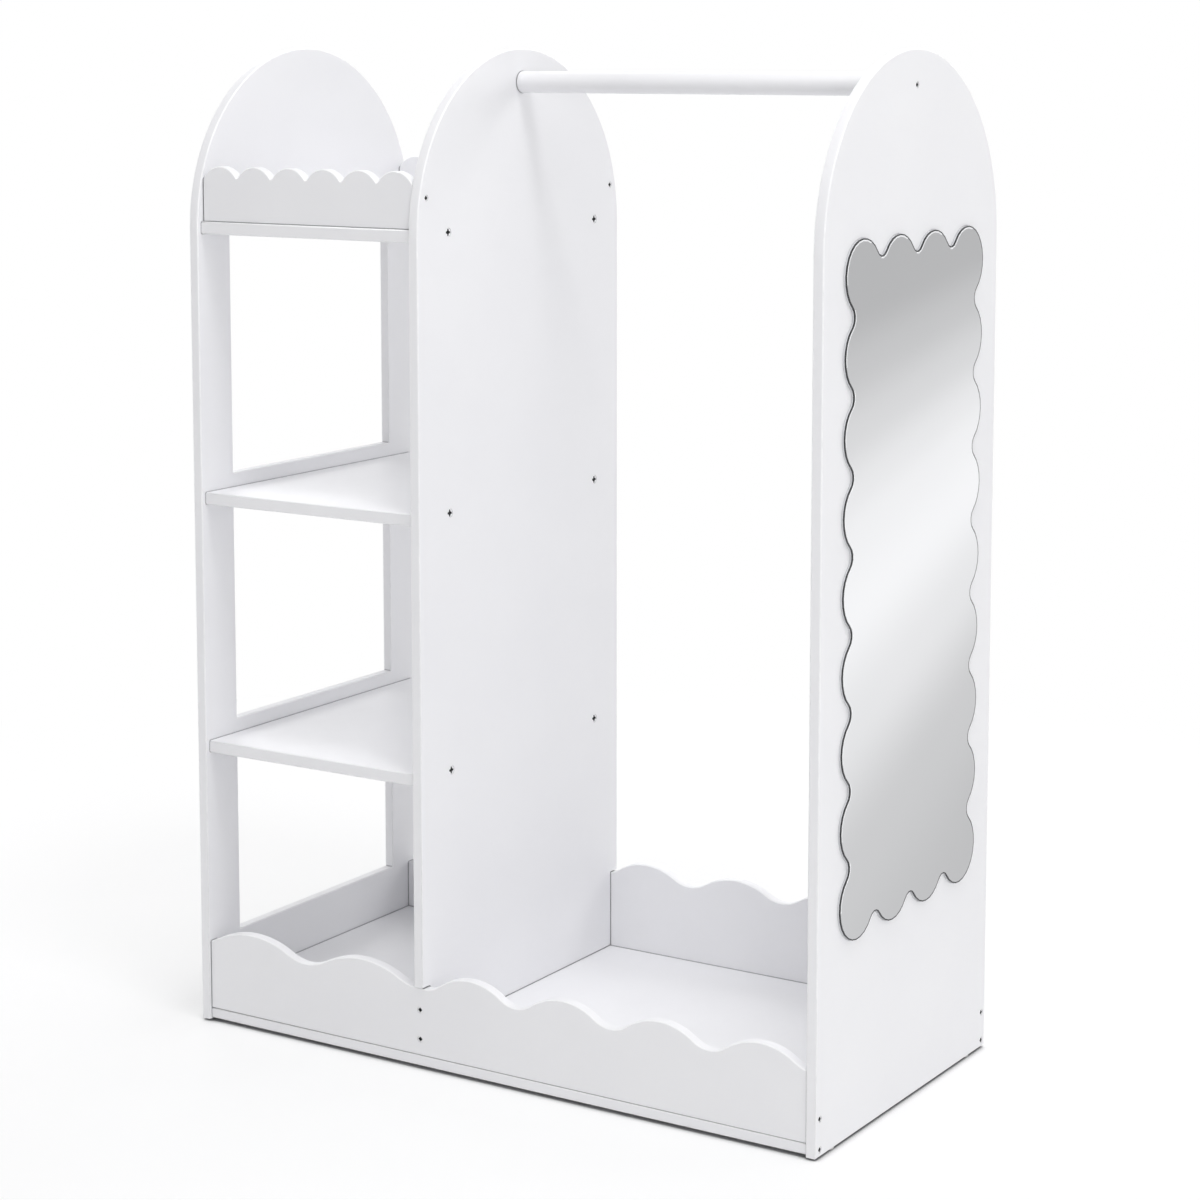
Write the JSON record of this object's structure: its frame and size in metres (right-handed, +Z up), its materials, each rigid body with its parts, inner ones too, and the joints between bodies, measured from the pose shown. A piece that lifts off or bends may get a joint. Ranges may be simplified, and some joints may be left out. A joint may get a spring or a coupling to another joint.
{
  "type": "kids coat rack",
  "caption": "Free-standing white children's dress-up rack: arched side boards, open shelves with a scalloped tray, hanging rod, wavy toe rails and a wavy wall mirror.",
  "frame": {"origin": "middle of the box's underside, on the floor", "axes": "+X from the shelf side to the mirror side, +Y from the open front to the back, +Z up"},
  "size_m": [0.803, 0.4, 1.113],
  "materials": {
    "white_board": "satin white lacquer on fibreboard",
    "white_rod": "satin white lacquer on a round wooden rod",
    "mirror_sheet": "silvered acrylic sheet with polished edges",
    "screw": "white coated steel, cross recess",
    "glide": "grey polyethylene"
  },
  "bodies": {
    "root": {"back_batten": "white_board", "back_wavy_rail": "white_board", "floor_deck": "white_board", "front_batten": "white_board", "front_wavy_rail": "white_board", "glide_left_back": "glide", "glide_left_front": "glide", "glide_right_back": "glide", "glide_right_front": "glide", "hanging_rod": "white_rod", "left_side_panel": "white_board", "lower_shelf": "white_board", "middle_panel": "white_board", "mirror": "mirror_sheet", "right_side_panel": "white_board", "screw_back_rail_high": "screw", "screw_back_rail_low": "screw", "screw_front_rail_high": "screw", "screw_front_rail_low": "screw", "screw_left_back_batten": "screw", "screw_left_back_rail": "screw", "screw_left_front_batten": "screw", "screw_left_front_rail": "screw", "screw_left_lower_back": "screw", "screw_left_lower_front": "screw", "screw_left_tray_back": "screw", "screw_left_tray_front": "screw", "screw_left_tray_rail_back": "screw", "screw_left_tray_rail_front": "screw", "screw_left_upper_back": "screw", "screw_left_upper_front": "screw", "screw_middle_lower_back": "screw", "screw_middle_lower_front": "screw", "screw_middle_tray_back": "screw", "screw_middle_tray_front": "screw", "screw_middle_tray_rail_back": "screw", "screw_middle_tray_rail_front": "screw", "screw_middle_upper_back": "screw", "screw_middle_upper_front": "screw", "screw_right_back_batten": "screw", "screw_right_back_rail": "screw", "screw_right_front_batten": "screw", "screw_right_front_rail": "screw", "screw_rod_left": "screw", "screw_rod_right": "screw", "tray_back_rail": "white_board", "tray_front_rail": "white_board", "tray_shelf": "white_board", "upper_shelf": "white_board"}
  },
  "joints": []
}
